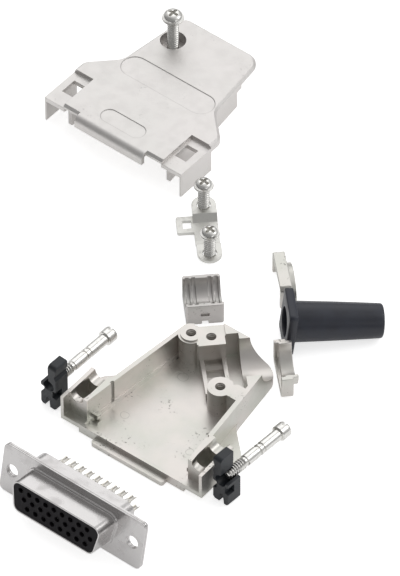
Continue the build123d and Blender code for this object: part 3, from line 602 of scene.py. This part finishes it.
def bootPoints(look):
    angle = around(look["columns"])
    plate = np.array(look["plateSections"])[:, :, None]
    plateRadius = roundedRay(angle, plate[:, 1], plate[:, 2], plate[:, 3])
    bend = np.linspace(0, 1, look["footRows"]) * math.pi / 2
    foot = (look["plate"] + look["footLength"] * (1 - np.cos(bend)),
            look["neck"] + look["footRise"] * (1 - np.sin(bend)))
    lipStart = look["length"] - look["lip"]
    along = np.linspace(look["tubeStart"], lipStart - look["lipGap"], look["tubeRows"])
    share = (along - look["plate"]) / (look["length"] - look["plate"])
    taper = look["neck"] + (look["tip"] - look["neck"]) * share
    tube = (along, taper + look["swell"] * np.sin(share * math.pi))
    bend = np.linspace(0, math.pi / 2, look["lipRows"])
    lip = (lipStart + look["lip"] * np.sin(bend), look["tip"] - look["lipDrop"] * (1 - np.cos(bend)))
    inward = np.array(look["boreInward"])
    bore = (look["length"] - inward, look["bore"] + 0 * inward)
    distance, radius = np.concatenate([foot, tube, lip, bore], axis=1)[:, :, None]
    start = np.array([[0.0]])
    distance = np.concatenate([start, plate[:, 0], distance])
    radius = np.concatenate([start + look["bore"] + look["boreEdge"] + 0 * angle, plateRadius,
                             radius + 0 * angle])
    points = np.stack([distance + 0 * radius, -radius * np.cos(angle),
                       look["axisHeight"] + radius * np.sin(angle)], -1)
    return np.concatenate([points, points[:1]])


spot = (Matrix.Translation(layout + Vector((*boot["spot"], boot["lift"])) * mm)
        @ Matrix.Rotation(math.radians(boot["turn"]), 4, "Z")
        @ Matrix.Rotation(math.radians(boot["lean"]), 4, "Y"))
piece = gridPiece("cableBoot", placed(bootPoints(boot), spot), closeStart=False, closeEnd=False)
work = bmesh.new()
work.from_mesh(piece.data)
bmesh.ops.remove_doubles(work, verts=work.verts, dist=boot["merge"] * mm)
bmesh.ops.recalc_face_normals(work, faces=work.faces)
work.to_mesh(piece.data)
work.free()
sharpenByAngle(piece, boot["sharp"])
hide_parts("cable_boot")
keep(piece, "boot_rubber")
print("boot made")


# Contact along +Y, in the frame of the connector, which leans back on the table by "lean" degrees
connector = {"spot": (1.6, -22.1), "turn": 0.5, "lean": 11.2289, "lift": 6.2717,
             "counts": (9, 9, 8), "steps": (-0.25, 0.25, 0.25), "pitch": 2.29, "rowPitch": 1.98}
contact = {"columns": 24, "front": -5.45, "frontEdge": 0.12, "barrelEnd": 5.0, "neckEnd": 5.35,
           "opening": 7.7, "openingEdge": 0.15, "cupEnd": 10.3, "edge": 0.1, "boreDepth": 4.0,
           "bore": 0.38, "boreMouth": 0.44, "frontFace": 0.50, "barrel": 0.58, "neck": 0.52, "cup": 0.62,
           "cupSide": 0.60, "cupBore": 0.42, "cupMouth": 0.45, "sharp": 35}


def contactPoints(look):
    # A section is a closed loop: its lower half is the outer arc, its upper half the outer arc again in
    # the barrel and the inside of the solder cup behind, so that the cup is open on top.
    # A station is (distance, outer radius, inner radius); an inner radius of 0 stands for a whole barrel.
    front, edge, opening, cupEnd = look["front"], look["edge"], look["opening"], look["cupEnd"]
    stations = np.array([
        (front + look["boreDepth"], look["bore"], 0), (front + look["frontEdge"], look["bore"], 0),
        (front, look["boreMouth"], 0), (front, look["frontFace"], 0), (front + edge, look["barrel"], 0),
        (look["barrelEnd"] - edge, look["barrel"], 0), (look["barrelEnd"], look["neck"], 0),
        (look["neckEnd"], look["neck"], 0), (look["neckEnd"] + edge, look["cup"], 0),
        (opening - look["openingEdge"], look["cup"], 0), (opening, look["cupSide"], 0),
        (opening, look["cupSide"], look["cupBore"]), (opening + edge, look["cup"], look["cupBore"]),
        (cupEnd - edge, look["cup"], look["cupBore"]), (cupEnd, look["barrel"], look["cupMouth"])])
    distance, outer, inner = stations.T[:, :, None]
    half = around(look["columns"])[:look["columns"] // 2]
    lower = np.stack([-outer * np.cos(half), distance + 0 * half, -outer * np.sin(half)], -1)
    reach, up = np.where(inner > 0, inner, outer), np.where(inner > 0, -1, 1)
    upper = np.stack([reach * np.cos(half), distance + 0 * half, up * reach * np.sin(half)], -1)
    return np.concatenate([lower, upper], axis=1)


connectorSpot = (Matrix.Translation(layout + Vector((*connector["spot"], connector["lift"])) * mm)
                 @ Matrix.Rotation(math.radians(connector["turn"]), 4, "Z")
                 @ Matrix.Rotation(math.radians(-connector["lean"]), 4, "X"))
places = [((step + i - (count - 1) / 2) * connector["pitch"], (1 - row) * connector["rowPitch"])
          for row, (count, step) in enumerate(zip(connector["counts"], connector["steps"]))
          for i in range(count)]
for number, (x, z) in enumerate(places, start=1):
    spot = connectorSpot @ Matrix.Translation(Vector((x, 0, z)) * mm)
    piece = gridPiece(f"contact{number:02d}", placed(contactPoints(contact), spot))
    sharpenByAngle(piece, contact["sharp"])
    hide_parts(f"contact_{number:02d}")
    keep(piece, "contact_metal")
print("contacts made:", len(places))


# Countersinks round the contact holes, front and back. An end is (face, outward direction), the
# profile is (distance out of the face, radius) and turns in at the hole.
rings = {"columns": 32, "front": (-6.35, -1), "back": (5.1, 1), "sharp": 50,
         "profile": [(0.0, 0.86), (0.03, 0.80), (0.03, 0.68), (-0.10, 0.60), (-0.6, 0.597)]}


def ringPoints(face, outward):
    angle = around(rings["columns"])
    distance, radius = np.array(rings["profile"]).T[:, :, None]
    return np.stack([radius * np.cos(angle) * -outward, face + outward * distance + 0 * radius * angle,
                     radius * np.sin(angle)], -1)


for end in ("front", "back"):
    for number, (x, z) in enumerate(places, start=1):
        spot = connectorSpot @ Matrix.Translation(Vector((x, 0, z)) * mm)
        ring = gridPiece(f"{end}Ring{number:02d}", placed(ringPoints(*rings[end]), spot), False, False)
        sharpenByAngle(ring, rings["sharp"])
        keep(ring, "insulator_plastic")
print("rings made")


# Table: pale paper that glows a little to the camera, and less in mirrors
studio = {"tableSize": 6.0, "tableDrop": 0.02, "floorColour": (0.93, 0.93, 0.93), "floorRoughness": 0.9,
          "floorFleck": 900.0, "fleckTone": 0.02, "floorGlow": 0.67, "mirrorGlow": 0.31,
          "sky": 0.74, "horizon": 0.50, "horizonStep": (0.05, 0.55), "front": 0.42,
          "frontStep": (-0.55, 0.25)}
half = studio["tableSize"] / 2
floorMesh = bpy.data.meshes.new("table")
floorMesh.from_pydata([(-half, -half, 0), (half, -half, 0), (half, half, 0), (-half, half, 0)], [],
                      [(0, 1, 2, 3)])
table = bpy.data.objects.new("table", floorMesh)
table.location = (0, 0, -studio["tableDrop"] * mm)
scene.collection.objects.link(table)
paper = Finish("tablePaper")
seen = paper.node("ShaderNodeLightPath", {}, {}, "Is Camera Ray")
mirrored = paper.node("ShaderNodeLightPath", {}, {}, "Is Glossy Ray")
glow = paper.blendColours(mirrored, (0, 0, 0), (studio["mirrorGlow"],) * 3)
glow = paper.blendColours(seen, glow, (studio["floorGlow"],) * 3)
fleck = paper.noise(studio["floorFleck"]) * studio["fleckTone"]
paper.give(Base_Color=paper.blendColours(fleck, studio["floorColour"], (1, 1, 1)),
           Roughness=studio["floorRoughness"], Specular_IOR_Level=0.0, Emission_Color=glow,
           Emission_Strength=1.0)
table.data.materials.append(paper.material)

world = bpy.data.worlds.new("studio")
scene.world = world
world.use_nodes = True
backdrop = world.node_tree.nodes["Background"]
sky = NodeWork(world.node_tree)
ray = sky.node("ShaderNodeTexCoord", {}, {}, "Generated")


def skyShare(direction, low, high, least):  # least at low, 1 at high, by how far a ray goes one way
    return sky.ramp(sky.vectors("DOT_PRODUCT", ray, {1: direction}, "Value"), low, high, least)


strength = studio["sky"] * skyShare((0, 0, 1), *studio["horizonStep"], studio["horizon"])
strength = strength * skyShare((0, 1, 0), *studio["frontStep"], studio["front"])
plug(sky.tree, backdrop.inputs["Strength"], strength)
plug(sky.tree, backdrop.inputs["Color"], (1, 1, 1, 1))

# The soft box stands where the flat tops mirror it to the camera; the others shape the sides
lamps = {
    "softBox": {"from": (-0.52, 0.65, 0.86), "size": 0.95, "power": 1.9},
    "keyLamp": {"from": (0.60, 0.62, 0.84), "size": 0.55, "power": 1.7},
    "sideLamp": {"from": (0.95, -0.25, 0.40), "size": 0.35, "power": 0.4},
}
for name, look in lamps.items():
    lampData = bpy.data.lights.new(name, "AREA")
    lampData.size = look["size"]
    lampData.energy = look["power"]
    lamp = bpy.data.objects.new(name, lampData)
    lamp.location = look["from"]
    lamp.rotation_euler = (-Vector(look["from"])).to_track_quat("-Z", "Y").to_euler()
    scene.collection.objects.link(lamp)
print("studio made")
